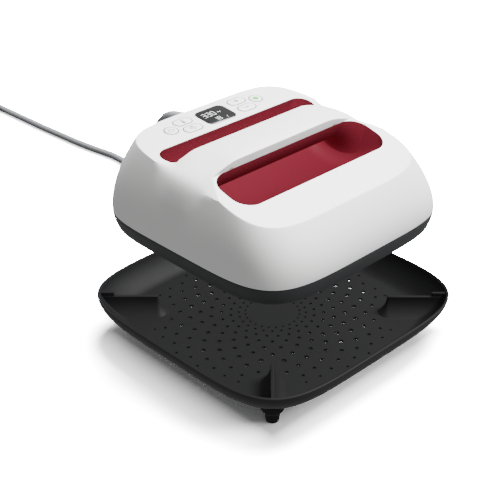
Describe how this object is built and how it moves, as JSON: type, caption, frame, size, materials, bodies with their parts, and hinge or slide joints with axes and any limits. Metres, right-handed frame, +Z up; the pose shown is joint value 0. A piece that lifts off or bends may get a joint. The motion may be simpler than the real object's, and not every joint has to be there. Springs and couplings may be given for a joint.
{
  "type": "heat press",
  "caption": "Hand heat press with a square heated plate, a loop handle with finger recess and a key panel, held above its perforated stand, with mains lead and plug.",
  "frame": {"origin": "on the table under the middle of the stand", "axes": "+X to the user's right, +Y to the back where the lead leaves, +Z up"},
  "size_m": [0.3, 1.0165, 0.2313],
  "materials": {
    "base": "moulded, fine grain",
    "vent": "moulded, fine grain",
    "foot": "matt rubber",
    "plate": "dark ceramic coating",
    "steel": "plain",
    "ceramic": "glazed ceramic",
    "wool": "needled fibre",
    "skirt": "moulded, satin",
    "shell": "moulded, satin",
    "liner": "moulded, satin",
    "window": "tinted, polished",
    "lcd": "display",
    "board": "circuit board",
    "power": "circuit board",
    "switch": "moulded",
    "relay": "moulded",
    "winding": "wound core",
    "can": "sleeved can",
    "key": "moulded, satin",
    "boot": "moulded",
    "cord": "smooth jacket",
    "tie": "woven strap",
    "pin": "plated"
  },
  "bodies": {
    "base": {"base_tray": "base", "vent_panel": "vent", "foot_front_left": "foot", "foot_front_right": "foot", "foot_back_left": "foot", "foot_back_right": "foot", "cord_free": "cord", "cord_coil": "cord", "cord_tie": "tie", "plug_body": "boot", "plug_pins": "pin"},
    "press": {"heat_plate": "plate", "heating_element": "steel", "thermistor": "ceramic", "thermal_fuse": "steel", "insulation_blanket": "wool", "plate_spacers": "ceramic", "heat_shield": "steel", "plate_screws": "steel", "shield_screws": "steel", "skirt": "skirt", "upper_shell": "shell", "shell_screws": "steel", "recess_scoop": "liner", "handle_liner": "liner", "display_window": "window", "display_module": "lcd", "control_board": "board", "key_switches": "switch", "board_screws": "steel", "power_board": "power", "board_standoffs": "ceramic", "power_relay": "relay", "transformer": "winding", "capacitors": "can", "strain_relief": "boot"},
    "key_temperature": {"key_temperature": "key"},
    "key_timer": {"key_timer": "key"},
    "key_plus": {"key_plus": "key"},
    "key_minus": {"key_minus": "key"},
    "key_power": {"key_power": "key"},
    "key_start": {"key_start": "key"}
  },
  "joints": [
    {"name": "press_lift", "type": "slide", "parent": "base", "child": "press", "axis": [0, 0, 1], "range_m": [-0.0878, 0.04], "deforming": ["cord_free"]},
    {"name": "temperature_press", "type": "slide", "parent": "press", "child": "key_temperature", "axis": [0, 0.1107, -0.9939], "range_m": [0, 0.0008], "stiffness_N_per_m": 400},
    {"name": "timer_press", "type": "slide", "parent": "press", "child": "key_timer", "axis": [0, 0.1107, -0.9939], "range_m": [0, 0.0008], "stiffness_N_per_m": 400},
    {"name": "plus_press", "type": "slide", "parent": "press", "child": "key_plus", "axis": [0, 0.1107, -0.9939], "range_m": [0, 0.0008], "stiffness_N_per_m": 400},
    {"name": "minus_press", "type": "slide", "parent": "press", "child": "key_minus", "axis": [0, 0.1107, -0.9939], "range_m": [0, 0.0008], "stiffness_N_per_m": 400},
    {"name": "power_press", "type": "slide", "parent": "press", "child": "key_power", "axis": [0, 0.1107, -0.9939], "range_m": [0, 0.0008], "stiffness_N_per_m": 400},
    {"name": "start_press", "type": "slide", "parent": "press", "child": "key_start", "axis": [0, 0.1107, -0.9939], "range_m": [0, 0.0008], "stiffness_N_per_m": 400}
  ]
}
